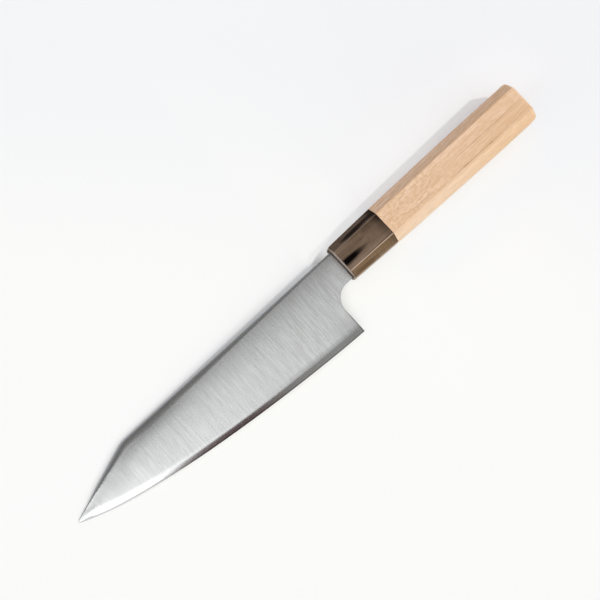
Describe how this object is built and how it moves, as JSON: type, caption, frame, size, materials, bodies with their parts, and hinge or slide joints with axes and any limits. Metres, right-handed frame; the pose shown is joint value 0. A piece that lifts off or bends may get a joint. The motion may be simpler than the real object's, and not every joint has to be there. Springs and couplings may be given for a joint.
{
  "type": "bunka knife",
  "caption": "Kitchen knife with a clip-pointed convex-ground blade, a stick tang bedded in resin, a horn ferrule and an octagonal wooden handle.",
  "frame": {"origin": "middle of the flat butt end, on the handle's axis and in the blade's middle plane", "axes": "+X along the handle to the blade's tip, +Y to the cutting edge, +Z across the blade, up when the knife lies on its side"},
  "size_m": [0.3336, 0.0482, 0.0196],
  "materials": {
    "blade_steel": "satin, fine scratches from spine to edge, polished spine and edge bevel",
    "horn": "polished horn, dark streaks along its length",
    "handle_wood": "fine sanded, pale, straight grained, unvarnished",
    "dowel_wood": "turned hardwood",
    "resin": "cured resin",
    "sealer": "dark sealer"
  },
  "bodies": {
    "root": {"blade": "blade_steel", "ferrule": "horn", "handle_body": "handle_wood", "tenon_dowel": "dowel_wood", "tang_bedding": "resin", "mouth_seal": "sealer"}
  },
  "joints": []
}
